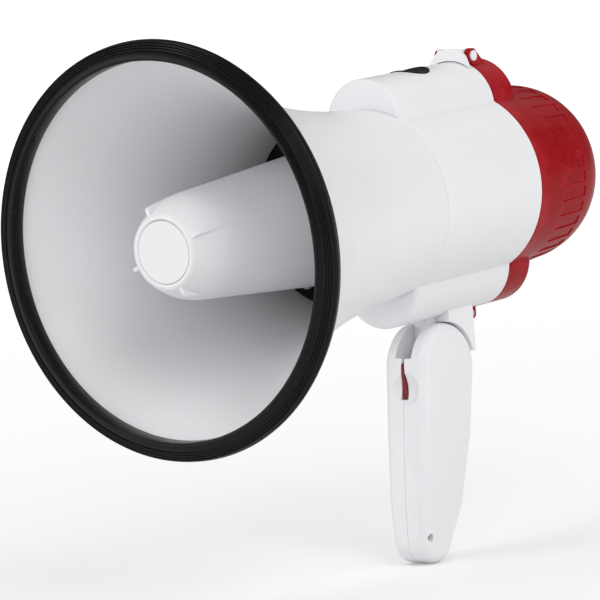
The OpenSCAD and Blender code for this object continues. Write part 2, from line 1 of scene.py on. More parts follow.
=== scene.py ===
"""Handheld megaphone: fine surfaces, materials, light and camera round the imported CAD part.

The measures and the builders work in millimetres; link() turns their points into metres.
"""

import json
import math

import bmesh
import bpy
from mathutils import Matrix, Vector


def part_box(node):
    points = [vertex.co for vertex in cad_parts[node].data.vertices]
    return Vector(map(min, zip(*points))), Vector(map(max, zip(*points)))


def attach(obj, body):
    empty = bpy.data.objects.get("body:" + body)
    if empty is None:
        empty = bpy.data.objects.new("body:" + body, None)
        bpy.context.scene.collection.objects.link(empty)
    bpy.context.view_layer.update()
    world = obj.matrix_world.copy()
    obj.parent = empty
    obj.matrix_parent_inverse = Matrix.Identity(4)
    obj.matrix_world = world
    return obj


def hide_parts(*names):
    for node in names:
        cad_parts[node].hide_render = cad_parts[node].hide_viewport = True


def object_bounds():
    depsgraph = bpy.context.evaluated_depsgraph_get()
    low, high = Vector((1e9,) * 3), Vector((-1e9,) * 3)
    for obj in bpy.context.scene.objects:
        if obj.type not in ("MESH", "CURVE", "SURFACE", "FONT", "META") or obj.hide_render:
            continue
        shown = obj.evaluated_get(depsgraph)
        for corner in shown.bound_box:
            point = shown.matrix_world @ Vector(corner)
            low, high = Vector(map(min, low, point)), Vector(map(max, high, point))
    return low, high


MM = 0.001
TAU = 2 * math.pi

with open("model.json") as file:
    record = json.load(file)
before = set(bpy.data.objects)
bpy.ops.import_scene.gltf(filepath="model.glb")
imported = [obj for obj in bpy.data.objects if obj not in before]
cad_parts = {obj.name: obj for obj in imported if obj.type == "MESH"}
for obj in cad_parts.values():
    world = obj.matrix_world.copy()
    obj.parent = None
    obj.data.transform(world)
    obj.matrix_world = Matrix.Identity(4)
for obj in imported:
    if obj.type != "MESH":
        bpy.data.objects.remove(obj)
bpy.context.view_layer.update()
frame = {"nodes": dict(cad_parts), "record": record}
NODES = frame["nodes"]


# ---------------------------------------------------------------- measures taken from the CAD nodes, in mm
def span(node):
    """Lowest and highest corner of a CAD node in millimetres."""
    low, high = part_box(node)
    return low / MM, high / MM


def centre_of(node):
    """Middle of a CAD node's box in millimetres."""
    low, high = span(node)
    return (low + high) / 2


RIM_R = span("rim_guard")[1].x
COVER_END_Y = span("rear_cover")[1].y
CUP_LOW, CUP_HIGH = span("reflector_cup")
CAP_R = span("reflector_cap")[1].x
PIVOT = centre_of("fold_pin")
HINGE = centre_of("cover_hinge_pin")
LATCH = centre_of("latch_pin")
SWITCH = centre_of("switch_bezel")
KNOB = centre_of("volume_knob")

# ---------------------------------------------------------------- measures shared by several pieces, in mm
# Rubber rim and horn
COLLAR_R = RIM_R - 3.0
COLLAR_BACK_Y = 9.5
RIM_INNER_R = RIM_R - 7.8
HORN_WALL = 2.2
NECK_TAPER = 0.08
FLARE_POWER = 2.8
THROAT_Y = 122.0
THROAT_R = 33.4

# Body and cover: a round tube with one lobe above and one below it
BODY_R = 38.0
LOBE_R = 18.5
LOBE_Z = 31.7
WALL = 2.1
NECK_Y = 134.6
BODY_END_Y = 200.0
FLANGE_END_Y = 217.0
CAVITY_Y = FLANGE_END_Y - 4.4
DISH_Y = 222.0

# Hinge of the cover: one knuckle on the body between two arms of the cover
KNUCKLE_R = 2.4
KNUCKLE_HALF = 2.9
ARM_X = 4.55
ARM_HALF = 1.45
HINGE_HOLE_R = 1.25

# Small holes and the length of the tools that cut right through
SMALL_PIN_HOLE_R = 1.05
THROUGH = 20
AXIS_R = 0.001


# ---------------------------------------------------------------- mesh helpers
def link(name, verts, faces, merge=0.004):
    """Mesh object from millimetre points, with doubles merged and outward normals."""
    mesh = bpy.data.meshes.new(name)
    mesh.from_pydata([Vector(v) * MM for v in verts], [], faces)
    bm = bmesh.new()
    bm.from_mesh(mesh)
    bmesh.ops.remove_doubles(bm, verts=bm.verts, dist=merge * MM)
    bmesh.ops.delete(bm, geom=[e for e in bm.edges if not e.link_faces], context="EDGES")
    bmesh.ops.recalc_face_normals(bm, faces=bm.faces)
    bm.to_mesh(mesh)
    bm.free()
    obj = bpy.data.objects.new(name, mesh)
    bpy.context.scene.collection.objects.link(obj)
    return obj


def skin(name, rings, closed=True, merge=0.004):
    """Quads between rings of equal length; closed joins the last ring to the first."""
    n = len(rings[0])
    verts = [p for ring in rings for p in ring]
    faces = []
    last = len(rings) if closed else len(rings) - 1
    for i in range(last):
        a = i * n
        b = ((i + 1) % len(rings)) * n
        for j in range(n):
            k = (j + 1) % n
            faces.append((a + j, a + k, b + k, b + j))
    return link(name, verts, faces, merge)


def circle(radius, y, n, x=0.0, z=0.0):
    """Ring of n points round the Y direction."""
    return [(x + radius * math.sin(TAU * i / n), y, z + radius * math.cos(TAU * i / n)) for i in range(n)]


def lathe(name, profile, n=256, x=0.0, z=0.0, closed=True):
    """Solid of revolution about a line along Y; closed joins the last (radius, y) point to the first."""
    return skin(name, [circle(max(r, AXIS_R), y, n, x, z) for r, y in profile], closed)


def rod(name, radius, y0, y1, n, x=0.0, z=0.0):
    """Round bar along Y."""
    return lathe(name, [(0, y0), (radius, y0), (radius, y1), (0, y1)], n, x, z)


def arc(cx, cy, r, start, end, n):
    """Points (u, v) on an arc, angles in degrees from +u towards +v."""
    angles = [math.radians(start + (end - start) * i / n) for i in range(n + 1)]
    return [(cx + r * math.cos(a), cy + r * math.sin(a)) for a in angles]


def box(name, low, high):
    """Block between two corners."""
    x0, y0, z0 = low
    x1, y1, z1 = high
    verts = [(x, y, z) for x in (x0, x1) for y in (y0, y1) for z in (z0, z1)]
    faces = [(0, 1, 3, 2), (4, 6, 7, 5), (0, 4, 5, 1), (2, 3, 7, 6), (0, 2, 6, 4), (1, 5, 7, 3)]
    return link(name, verts, faces)


def prism(name, outline, axis, low, high):
    """Outline extruded along one axis. For X the outline holds (y, z), for Y (x, z)."""
    def place(u, v, w):
        return (w, u, v) if axis == "X" else (u, w, v)
    n = len(outline)
    verts = [place(u, v, low) for u, v in outline] + [place(u, v, high) for u, v in outline]
    faces = [tuple(range(n))[::-1], tuple(range(n, 2 * n))]
    faces += [(i, (i + 1) % n, n + (i + 1) % n, n + i) for i in range(n)]
    return link(name, verts, faces)


def bar(name, y, z, radius, x0, x1, n=48):
    """Round bar along X."""
    outline = [(y + radius * math.cos(TAU * i / n), z + radius * math.sin(TAU * i / n)) for i in range(n)]
    return prism(name, outline, "X", x0, x1)


def upright_bar(name, x, y, radius, z0, z1, n=32):
    """Round bar along Z."""
    low = [(x + radius * math.cos(TAU * i / n), y + radius * math.sin(TAU * i / n), z0) for i in range(n)]
    high = [(px, py, z1) for px, py, _ in low]
    faces = [tuple(range(n))[::-1], tuple(range(n, 2 * n))]
    faces += [(i, (i + 1) % n, n + (i + 1) % n, n + i) for i in range(n)]
    return link(name, low + high, faces)


def combine(obj, tool, operation):
    """Exact boolean; the tool is removed."""
    mod = obj.modifiers.new("combine", "BOOLEAN")
    mod.operation = operation
    mod.solver = "EXACT"
    mod.object = tool
    bpy.context.view_layer.update()
    result = bpy.data.meshes.new_from_object(obj.evaluated_get(bpy.context.evaluated_depsgraph_get()))
    obj.modifiers.clear()
    obj.data = result
    bpy.data.objects.remove(tool)
    return obj


def cut(obj, tool):
    return combine(obj, tool, "DIFFERENCE")


def add(obj, tool):
    return combine(obj, tool, "UNION")


def soften(obj, angle, width=0.0):
    """Smooth shading with sharp edges above an angle in degrees, and a rounding of some width on them."""
    mesh = obj.data
    bm = bmesh.new()
    bm.from_mesh(mesh)
    limit = math.radians(angle)
    for face in bm.faces:
        face.smooth = True
    for edge in bm.edges:
        edge.smooth = len(edge.link_faces) == 2 and edge.calc_face_angle(math.pi) < limit
    bm.to_mesh(mesh)
    bm.free()
    if width:
        mod = obj.modifiers.new("edge_rounding", "BEVEL")
        mod.width = width * MM
        mod.segments = 2
        mod.limit_method = "ANGLE"
        mod.angle_limit = math.radians(angle)
        mod.miter_outer = "MITER_ARC"
        mod.use_clamp_overlap = True
    return obj


# ---------------------------------------------------------------- materials
# Heights of the bump layers in metres
GRAIN_DEPTH = 0.00004
SCRATCH_DEPTH = 0.00003
WAVE_DEPTH = 0.0006


def node_tree(name):
    """New material with its node tree and its shader."""
    mat = bpy.data.materials.new(name)
    mat.use_nodes = True
    tree = mat.node_tree
    shader = next(n for n in tree.nodes if n.type == "BSDF_PRINCIPLED")
    return mat, tree, shader


def noise(tree, coord, scale, detail, rough=0.55, stretch=None):
    """Cloud noise between 0 and 1; stretch scales it differently along the three axes."""
    tex = tree.nodes.new("ShaderNodeTexNoise")
    tex.inputs["Scale"].default_value = scale
    tex.inputs["Detail"].default_value = detail
    tex.inputs["Roughness"].default_value = rough
    source = coord
    if stretch:
        mapping = tree.nodes.new("ShaderNodeMapping")
        mapping.inputs["Scale"].default_value = stretch
        tree.links.new(coord, mapping.inputs["Vector"])
        source = mapping.outputs["Vector"]
    tree.links.new(source, tex.inputs["Vector"])
    return tex.outputs["Fac"]


def remap(tree, value, low, high, out_low=0.0, out_high=1.0):
    """Value moved from the range low to high into the range out_low to out_high, and held inside it."""
    node = tree.nodes.new("ShaderNodeMapRange")
    node.inputs["From Min"].default_value = low
    node.inputs["From Max"].default_value = high
    node.inputs["To Min"].default_value = out_low
    node.inputs["To Max"].default_value = out_high
    tree.links.new(value, node.inputs["Value"])
    return node.outputs["Result"]


def mix(tree, factor, a, b):
    """Mix of two colours, each given as numbers or as a socket."""
    node = tree.nodes.new("ShaderNodeMix")
    node.data_type = "RGBA"
    # Sockets 6 and 7 and output 2 are the ones for colours
    for socket, value in ((node.inputs[6], a), (node.inputs[7], b)):
        if isinstance(value, tuple):
            socket.default_value = (*value, 1.0)
        else:
            tree.links.new(value, socket)
    tree.links.new(factor, node.inputs[0])
    return node.outputs[2]


def math_node(tree, operation, a, b):
    """Result of an operation on two values, each given as a number or as a socket."""
    node = tree.nodes.new("ShaderNodeMath")
    node.operation = operation
    for socket, value in ((node.inputs[0], a), (node.inputs[1], b)):
        if isinstance(value, (int, float)):
            socket.default_value = value
        else:
            tree.links.new(value, socket)
    return node.outputs[0]


def bump(tree, height, strength, depth, below=None):
    """Normal of a bump layer that may lie on the normal of another layer."""
    node = tree.nodes.new("ShaderNodeBump")
    node.inputs["Strength"].default_value = strength
    node.inputs["Distance"].default_value = depth
    tree.links.new(height, node.inputs["Height"])
    if below is not None:
        tree.links.new(below, node.inputs["Normal"])
    return node.outputs["Normal"]


def moulded(name, colour, dirt, rough, grain=0.3, grain_scale=1500.0, wear=None, coat=0.0, metal=0.0,
            dirt_amount=0.10, rough_span=0.16, subsurface=0.0, specular=0.5):
    """Moulded or painted surface: cloudy tone, smudges in the roughness, moulding grain, hairline scratches,
    dirt in hollows and rubbed edges."""
    mat, tree, shader = node_tree(name)
    coord = tree.nodes.new("ShaderNodeTexCoord").outputs["Object"]
    geometry = tree.nodes.new("ShaderNodeNewGeometry")
    # Scales are per metre, so 38 gives clouds of about 26 mm and 1500 a grain of about 0.7 mm
    cloud = noise(tree, coord, 38.0, 5.0)
    smudge = noise(tree, coord, 95.0, 6.0, 0.62)
    fine = noise(tree, coord, grain_scale, 2.0)
    hair = noise(tree, coord, 160.0, 3.0, 0.5, (14.0, 1.2, 9.0))
    speck = noise(tree, coord, 620.0, 2.0, 0.4)

    tone = mix(tree, remap(tree, cloud, 0.35, 0.7, 0.0, dirt_amount), colour, dirt)
    hollow = remap(tree, geometry.outputs["Pointiness"], 0.47, 0.40, 0.0, 0.45)
    tone = mix(tree, math_node(tree, "MULTIPLY", hollow, remap(tree, smudge, 0.3, 0.7)), tone, dirt)
    tone = mix(tree, remap(tree, speck, 0.74, 0.80, 0.0, dirt_amount * 1.5), tone, dirt)
    if wear:
        rubbed = remap(tree, geometry.outputs["Pointiness"], 0.54, 0.62, 0.0, 0.55)
        tone = mix(tree, math_node(tree, "MULTIPLY", rubbed, remap(tree, smudge, 0.4, 0.65)), tone, wear)
    tree.links.new(tone, shader.inputs["Base Color"])

    gloss = remap(tree, smudge, 0.25, 0.75, rough - rough_span / 2, rough + rough_span / 2)
    streak = remap(tree, hair, 0.62, 0.72, 0.0, 0.10)
    tree.links.new(math_node(tree, "ADD", gloss, streak), shader.inputs["Roughness"])

    normal = bump(tree, fine, grain, GRAIN_DEPTH)
    normal = bump(tree, remap(tree, hair, 0.66, 0.72), 0.25, SCRATCH_DEPTH, normal)
    normal = bump(tree, cloud, 0.10, WAVE_DEPTH, normal)
    tree.links.new(normal, shader.inputs["Normal"])
    shader.inputs["Metallic"].default_value = metal
    shader.inputs["Specular IOR Level"].default_value = specular
    shader.inputs["Coat Weight"].default_value = coat
    shader.inputs["Coat Roughness"].default_value = 0.12
    shader.inputs["Subsurface Weight"].default_value = subsurface
    shader.inputs["Subsurface Radius"].default_value = (0.004, 0.004, 0.004)
    return mat


def brushed(name, colour, tint, rough, scale=420.0):
    """Plated or brushed metal with fine lines, tarnish clouds and pits."""
    mat, tree, shader = node_tree(name)
    coord = tree.nodes.new("ShaderNodeTexCoord").outputs["Object"]
    lines = noise(tree, coord, scale, 3.0, 0.6, (1.0, 12.0, 12.0))
    cloud = noise(tree, coord, 130.0, 5.0)
    tone = mix(tree, remap(tree, cloud, 0.4, 0.72, 0.0, 0.5), colour, tint)
    tree.links.new(tone, shader.inputs["Base Color"])
    tree.links.new(remap(tree, lines, 0.3, 0.7, rough - 0.08, rough + 0.14), shader.inputs["Roughness"])
    tree.links.new(bump(tree, lines, 0.25, SCRATCH_DEPTH), shader.inputs["Normal"])
    shader.inputs["Metallic"].default_value = 1.0
    return mat


MOULDED = {
    "white_plastic": dict(colour=(0.83, 0.833, 0.85), dirt=(0.62, 0.62, 0.63), rough=0.38,
                          wear=(0.86, 0.86, 0.87), dirt_amount=0.08, subsurface=0.04),
    "red_plastic": dict(colour=(0.31, 0.003, 0.006), dirt=(0.20, 0.002, 0.005), rough=0.30, grain=0.22,
                        wear=(0.46, 0.02, 0.03), dirt_amount=0.30, specular=0.10),
    # trigger_plastic is the trigger's red with the shade of its deep slot painted in, so it is darker than
    # red_plastic
    "trigger_plastic": dict(colour=(0.17, 0.006, 0.018), dirt=(0.09, 0.004, 0.014), rough=0.40,
                            wear=(0.30, 0.03, 0.05), dirt_amount=0.3, specular=0.25),
    "black_rubber": dict(colour=(0.0035, 0.0035, 0.0038), dirt=(0.010, 0.010, 0.0095), rough=0.30,
                         grain=0.35, grain_scale=1100.0, wear=(0.014, 0.014, 0.014), dirt_amount=0.22,
                         rough_span=0.14, specular=0.18),
    "dark_plastic": dict(colour=(0.005, 0.005, 0.0055), dirt=(0.02, 0.02, 0.019), rough=0.34, grain=0.40,
                         wear=(0.026, 0.026, 0.026), dirt_amount=0.2, specular=0.12),
    "driver_steel": dict(colour=(0.03, 0.03, 0.032), dirt=(0.10, 0.09, 0.08), rough=0.45, metal=0.4,
                         grain=0.5),
    "cone_film": dict(colour=(0.42, 0.28, 0.13), dirt=(0.26, 0.16, 0.07), rough=0.32, grain=0.2, coat=0.3),
    "ferrite": dict(colour=(0.035, 0.035, 0.038), dirt=(0.09, 0.085, 0.08), rough=0.6, grain=0.8,
                    grain_scale=700.0),
    "circuit_board": dict(colour=(0.015, 0.13, 0.05), dirt=(0.01, 0.07, 0.03), rough=0.3, coat=0.3),
    "components": dict(colour=(0.03, 0.032, 0.05), dirt=(0.09, 0.09, 0.1), rough=0.35),
    "cell_jacket": dict(colour=(0.30, 0.21, 0.05), dirt=(0.16, 0.11, 0.03), rough=0.28, metal=0.5, grain=0.2,
                        coat=0.4, dirt_amount=0.25),
}
BRUSHED = {
    "zinc_steel": dict(colour=(0.62, 0.63, 0.64), tint=(0.44, 0.43, 0.40), rough=0.30),
    "copper_wire": dict(colour=(0.72, 0.34, 0.16), tint=(0.42, 0.18, 0.09), rough=0.28, scale=900.0),
    "contact_metal": dict(colour=(0.70, 0.69, 0.66), tint=(0.46, 0.42, 0.34), rough=0.26),
}
MATERIALS = {name: moulded(name, **look) for name, look in MOULDED.items()}
MATERIALS.update({name: brushed(name, **look) for name, look in BRUSHED.items()})


def dress(obj, slot):
    obj.data.materials.clear()
    obj.data.materials.append(MATERIALS[slot])
    return obj


def piece(obj, slot, body, *nodes):
    """Finish a built piece: its material, the body it rides on and the CAD nodes it stands for."""
    dress(obj, slot)
    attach(obj, body)
    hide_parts(*nodes)
    return obj


# ---------------------------------------------------------------- rim guard
RIB_COUNT = 4
RIB_STEPS = 14


def build_rim():
    """Rubber ring round the mouth, hooked over the collar of the horn from both sides."""
    out_r = COLLAR_R + 0.1
    in_r = COLLAR_R - HORN_WALL - 0.1
    land_r = RIM_INNER_R + 1.5
    ribs = []
    for i in range(RIB_COUNT * RIB_STEPS + 1):
        t = i / (RIB_COUNT * RIB_STEPS)
        wave = abs(math.sin(math.pi * RIB_COUNT * t)) ** 0.6
        ribs.append((land_r + 2.3 + 3.7 * t, 1.2 + 1.35 * t - 0.55 * wave))
    outer = arc(RIM_R - 1.8, 4.6, 1.8, -65, 40, 10)
    tail = [(RIM_R - 1.2, 6.3), (out_r + 1.2, 8.2), (out_r + 0.5, 8.5), (out_r, 8.3), (out_r, 3.3)]
    inner = [(in_r, 3.3), (in_r, 8.2), (in_r - 0.5, 8.4), (RIM_INNER_R + 0.4, 7.2)]
    land = [(RIM_INNER_R, 6.6), (RIM_INNER_R, 0.7), (RIM_INNER_R + 0.15, 0.25), (RIM_INNER_R + 0.5, 0.0),
            (land_r, 0.0)]
    rim = lathe("rubber_rim", land + ribs + outer + tail + inner, 288)
    soften(rim, 40)
    return piece(rim, "black_rubber", "body", "rim_guard")


# ---------------------------------------------------------------- horn bell
BELL_ROWS = 72
COLLAR_FRONT_Y = 3.5
SPIGOT_LENGTH = 5


def horn_r(y):
    """Outer radius of the horn: a slight taper from the neck with a flare on top of it."""
    length = NECK_Y - COLLAR_BACK_Y
    u = max(0.0, NECK_Y - y)
    flare = COLLAR_R - BODY_R - NECK_TAPER * length
    return BODY_R + NECK_TAPER * u + flare * (u / length) ** FLARE_POWER


def build_horn():
    """Horn with its collar in front and, behind the throat, the spigot that enters the body."""
    forward = [NECK_Y + (COLLAR_BACK_Y - NECK_Y) * i / BELL_ROWS for i in range(1, BELL_ROWS + 1)]
    rearward = [COLLAR_BACK_Y + (NECK_Y - COLLAR_BACK_Y) * i / BELL_ROWS for i in range(BELL_ROWS + 1)]
    outer = [(horn_r(y), y) for y in forward]
    inner = [(horn_r(y) - HORN_WALL, y) for y in rearward if y < THROAT_Y - 0.1]
    collar = [(COLLAR_R, COLLAR_FRONT_Y), (COLLAR_R - HORN_WALL, COLLAR_FRONT_Y)]
    neck_y = NECK_Y - 0.2
    spigot_r = BODY_R - HORN_WALL - 0.1
    spigot_y = NECK_Y + SPIGOT_LENGTH
    throat = [(horn_r(THROAT_Y) - HORN_WALL, THROAT_Y), (THROAT_R, THROAT_Y), (THROAT_R, spigot_y),
              (spigot_r, spigot_y), (spigot_r, neck_y)]
    bell = lathe("flared_bell", [(BODY_R, neck_y)] + outer + collar + inner + throat, 256)
    soften(bell, 35)
    return piece(bell, "white_plastic", "body", "horn_bell")


# ---------------------------------------------------------------- nose reflector
LUG_ANGLES = [23, 113, 203, 293]
LUG_HALF = 0.7
RIDGE_HALF = 0.22
RIDGE_END_Y = 77.0
SHOULDER_R = 20.7
SHOULDER_Y = 20.0
CONE_STEPS = 24
BOLT_HEAD_R = 2.9
BOLT_SHAFT_R = 1.6
# Takes a prism along X, drawn as (distance from the horn's axis, y), to a fin that stands out along +X
STAND_OUT = Matrix(((0, 1, 0, 0), (0, 0, 1, 0), (-1, 0, 0, 0), (0, 0, 0, 1)))


def build_reflector():
    """Hollow nose with a lip round its cap, four lugs and the faint mould ridges behind them."""
    front = CUP_LOW.y
    back = CUP_HIGH.y
    end_r = CUP_HIGH.x
    lip = [(0, front + 1.8), (CAP_R + 0.2, front + 1.8), (CAP_R + 0.2, front + 0.5),
           (CAP_R + 0.4, front + 0.12), (CAP_R + 0.7, front), (CAP_R + 1.6, front),
           (CAP_R + 2.4, front + 0.4), (CAP_R + 2.8, front + 1.1)]
    shoulder = [(15.4, front + 2.2), (16.1, front + 3.5), (17.0, 7.4), (18.3, 10.4), (19.1, 12.5),
                (19.6, 14.0), (20.2, 16.8), (SHOULDER_R, SHOULDER_Y)]
    cone = []
    for i in range(1, CONE_STEPS + 1):
        t = i / CONE_STEPS
        cone.append((SHOULDER_R + (end_r - SHOULDER_R) * t, SHOULDER_Y + (back - SHOULDER_Y) * t))
    hollow = [(end_r - 1.9, back), (19.1, SHOULDER_Y), (17.8, 14.5), (14.0, 8.5), (0, 8.5)]
    cup = lathe("reflector_nose", lip + shoulder + cone + hollow, 224)

    lug = [(13.2, 3.4), (16.9, 3.4), (17.7, 3.7), (18.3, 4.4), (19.4, 10.5), (20.4, 17.0), (20.75, 20.2),
           (19.3, 17.4), (15.2, 8.2), (13.2, 7.0)]
    ridge_r = SHOULDER_R + (end_r - SHOULDER_R) * 0.72
    ridge = [(20.6, 19.5), (20.8, 19.5), (ridge_r + 0.1, RIDGE_END_Y), (ridge_r - 0.3, RIDGE_END_Y)]
    for angle in LUG_ANGLES:
        turn = Matrix.Rotation(math.radians(angle), 4, Vector((0, -1, 0)))
        for outline, half in ((lug, LUG_HALF), (ridge, RIDGE_HALF)):
            fin = prism("fin", outline, "X", -half, half)
            fin.data.transform(turn @ STAND_OUT)
            add(cup, fin)

    bolt = [(0, front - 1), (BOLT_HEAD_R, front - 1), (BOLT_HEAD_R, 6.2), (BOLT_SHAFT_R, 6.2),
            (BOLT_SHAFT_R, 12), (0, 12)]
    cut(cup, lathe("bolt_hole", bolt, 48))
    soften(cup, 34, 0.18)
    return piece(cup, "white_plastic", "body", "reflector_cup")


# ---------------------------------------------------------------- lobed body
LOBE_STEPS = 44
SIDE_STEPS = 40
FRONT_ROUND = 2.2
BODY_ROWS = 15
SWITCH_HOLE_R = 7.5
SEAT_R = 17.2
SEAT_HALF = 1.6
SCREW_HOLE_R = 1.6


def crease(main_r, lobe_r):
    """Angle from +Z at which a lobe's outline meets the round body."""
    return math.acos((main_r ** 2 + LOBE_Z ** 2 - lobe_r ** 2) / (2 * main_r * LOBE_Z))


PLAIN_CREASE = crease(BODY_R, LOBE_R)


def polar_steps(limit):
    """Angles from +Z round to +Z, with a point exactly on each crease."""
    quarter = [limit * i / LOBE_STEPS for i in range(LOBE_STEPS)]
    quarter += [limit + (math.pi / 2 - limit) * i / SIDE_STEPS for i in range(SIDE_STEPS + 1)]
    half = quarter + [math.pi - a for a in reversed(quarter[:-1])]
    return half[:-1] + [a + math.pi for a in half[:-1]]


def lobed_ring(y, main_r, lobe_r):
    """Ring along the outline of the round body with its two lobes; lobe_r None gives a plain circle."""
    limit = PLAIN_CREASE if lobe_r is None else crease(main_r, lobe_r)
    points = []
    for a in polar_steps(limit):
        b = math.acos(min(1.0, abs(math.cos(a))))
        r = main_r
        if lobe_r is not None and b < limit:
            r = LOBE_Z * math.cos(b) + math.sqrt(max(0.0, lobe_r ** 2 - (LOBE_Z * math.sin(b)) ** 2))
        points.append((r * math.sin(a), y, r * math.cos(a)))
    return points


def fillet(y0, y1, r, n):
    """(inset, y) pairs of a quarter round that starts at a face at y0 and ends on the wall at y1."""
    angles = [math.pi / 2 * i / n for i in range(n + 1)]
    return [(r * (1 - math.sin(a)), y0 + (y1 - y0) * (1 - math.cos(a))) for a in angles]


def lobe_slice(name, side, r0, r1, y0, y1, x0, x1):
    """Part of a tube round a lobe's axis between two values of x; side is -1 for the lower lobe."""
    tube = lathe(name, [(r0, y0), (r1, y0), (r1, y1), (r0, y1)], 160, z=side * LOBE_Z)
    far = side * 60.0
    near = side * 40.0
    window = box(name + "_span", (x0, y0 - 5, min(far, near)), (x1, y1 + 5, max(far, near)))
    return combine(tube, window, "INTERSECT")


def build_body():
    """Battery body with its switch hole, hinge knuckle, seats for the cover's arms, catch and screw holes."""
    front = NECK_Y + 0.1
    mouth_r = BODY_R - WALL - 0.1
    wall_y = front + FRONT_ROUND
    floor_y = front + 2.4
    edge = 0.3
    rings = [lobed_ring(floor_y, mouth_r, None), lobed_ring(front, mouth_r, None)]
    for inset, y in fillet(front, wall_y, FRONT_ROUND, 7):
        rings.append(lobed_ring(y, BODY_R - min(inset, 0.12), LOBE_R - inset))
    for i in range(1, BODY_ROWS + 1):
        rings.append(lobed_ring(wall_y + (BODY_END_Y - edge - wall_y) * i / BODY_ROWS, BODY_R, LOBE_R))
    rings += [lobed_ring(BODY_END_Y, BODY_R - edge, LOBE_R - edge),
              lobed_ring(BODY_END_Y, BODY_R - WALL, LOBE_R - WALL),
              lobed_ring(floor_y, BODY_R - WALL, LOBE_R - WALL)]
    shell = skin("body_casing", rings)
    cut(shell, upright_bar("switch_hole", 0.0, SWITCH.y, SWITCH_HOLE_R, 40, 60, 96))
    for s in (-1, 1):
        x0 = s * (ARM_X + 0.05) - SEAT_HALF
        x1 = s * (ARM_X + 0.05) + SEAT_HALF
        cut(shell, lobe_slice("seat", -1, SEAT_R, 25.0, HINGE.y - 2.7, HINGE.y + 12.0, x0, x1))
    knuckle = bar("knuckle", HINGE.y, HINGE.z, KNUCKLE_R, -KNUCKLE_HALF, KNUCKLE_HALF)
    add(knuckle, box("web", (-KNUCKLE_HALF, HINGE.y - KNUCKLE_R, HINGE.z),
                     (KNUCKLE_HALF, HINGE.y + KNUCKLE_R, HINGE.z + 2.6)))
    add(shell, knuckle)
    cut(shell, bar("pin_hole", HINGE.y, HINGE.z, HINGE_HOLE_R, -THROUGH, THROUGH))
    add(shell, lobe_slice("catch", 1, 17.5, LOBE_R + 0.35, 198.0, 199.6, -6.0, 6.0))
    for y in (173.0, 180.5):
        for x in (-6.0, 6.0):
            cut(shell, upright_bar("screw_hole", x, y, SCREW_HOLE_R, -60, -40))
    soften(shell, 30, 0.22)
    return piece(shell, "white_plastic", "body", "body_shell")


# ---------------------------------------------------------------- cover with its mouthpiece
COVER_Y = BODY_END_Y + 0.2
COVER_EDGE = 0.25
FLANGE_SHRINK = 0.55
LOBE_ROUND = 3.6
LIP_Y = COVER_END_Y - 1.2
# Grip recesses round the bowl: number, angles in degrees, depth and ends
RECESS_COUNT = 36
RECESS_FIRST = 3.2
RECESS_HALF = 3.15
RECESS_SIDE = 0.22
RECESS_DEPTH = 0.5
RECESS_Y0 = FLANGE_END_Y + 0.1
RECESS_Y1 = 234.6
RECESS_SLOPE = 0.15
# Room behind the dish, openings and posts of the dish
ROOM_R = 33.2
ROOM_END_Y = DISH_Y - 2.2
BOOT_HOLE_R = 9.1
KNOB_HOLE_R = 3.6
POST_X = 18.0
POST_Z = 13.6
POST_R = 3.0
# Ears of the latch and arms of the hinge
EAR_X = 7.35
EAR_HALF = 1.15
EAR_R = 3.1
EAR_FOOT_Z = 47.2
ARM_R = 17.3


def recess_angles():
    """Angles round the mouthpiece as (angle, deep), with points on both sides of every recess wall."""
    pitch = TAU / RECESS_COUNT
    half = math.radians(RECESS_HALF)
    side = math.radians(RECESS_SIDE)
    out = []
    for k in range(RECESS_COUNT):
        middle = math.radians(RECESS_FIRST) + k * pitch
        out += [(middle - half + 2 * half * i / 8, True) for i in range(9)]
        out += [(middle + half + side + (pitch - 2 * half - 2 * side) * i / 5, False) for i in range(6)]
    return out


ROUND_STEPS = recess_angles()


def bowl_ring(r, y, depth=0.0):
    """Circle round the horn axis that dips by depth in every grip recess."""
    out = []
    for a, deep in ROUND_STEPS:
        radius = r - depth if deep else r
        out.append((radius * math.sin(a), y, radius * math.cos(a)))
    return out


def bowl_r(y):
    """Outer radius of the cover between its lobes and of the mouthpiece behind them."""
    if y < FLANGE_END_Y:
        return BODY_R - FLANGE_SHRINK * (y - BODY_END_Y) / (FLANGE_END_Y - BODY_END_Y)
    t = (y - FLANGE_END_Y) / (COVER_END_Y - 1.0 - FLANGE_END_Y)
    return BODY_R - FLANGE_SHRINK - 1.3 * t - 3.7 * t ** 5


def bowl_rows(y0, y1, rows, depth=0.0):
    """Rings along the bowl from y0 to y1."""
    return [bowl_ring(bowl_r(y), y, depth) for y in (y0 + (y1 - y0) * i / rows for i in range(rows + 1))]


def bowl_skin():
    """Solid outer form of the cover without its lobes, from its front face to the floor of the dish."""
    rings = [bowl_ring(AXIS_R, COVER_Y), bowl_ring(BODY_R - COVER_EDGE, COVER_Y)]
    rings += [bowl_ring(bowl_r(y), y) for y in (COVER_Y + 0.3, 206.0, 212.0, FLANGE_END_Y, RECESS_Y0)]
    rings += bowl_rows(RECESS_Y0 + RECESS_SLOPE, RECESS_Y1 - RECESS_SLOPE, 12, RECESS_DEPTH)
    rings += bowl_rows(RECESS_Y1, LIP_Y, 16)
    edge = bowl_r(LIP_Y)
    dish = [(edge - 0.35, LIP_Y + 0.75), (edge - 1.2, LIP_Y + 1.2), (edge - 2.2, LIP_Y + 1.1),
            (edge - 2.9, LIP_Y + 0.4), (29.0, COVER_END_Y - 6), (27.2, COVER_END_Y - 15),
            (25.6, DISH_Y + 2.2), (24.6, DISH_Y + 0.5), (23.2, DISH_Y), (AXIS_R, DISH_Y)]
    rings += [bowl_ring(r, y) for r, y in dish]
    return skin("mouthpiece_cover", rings, closed=False, merge=0.01)


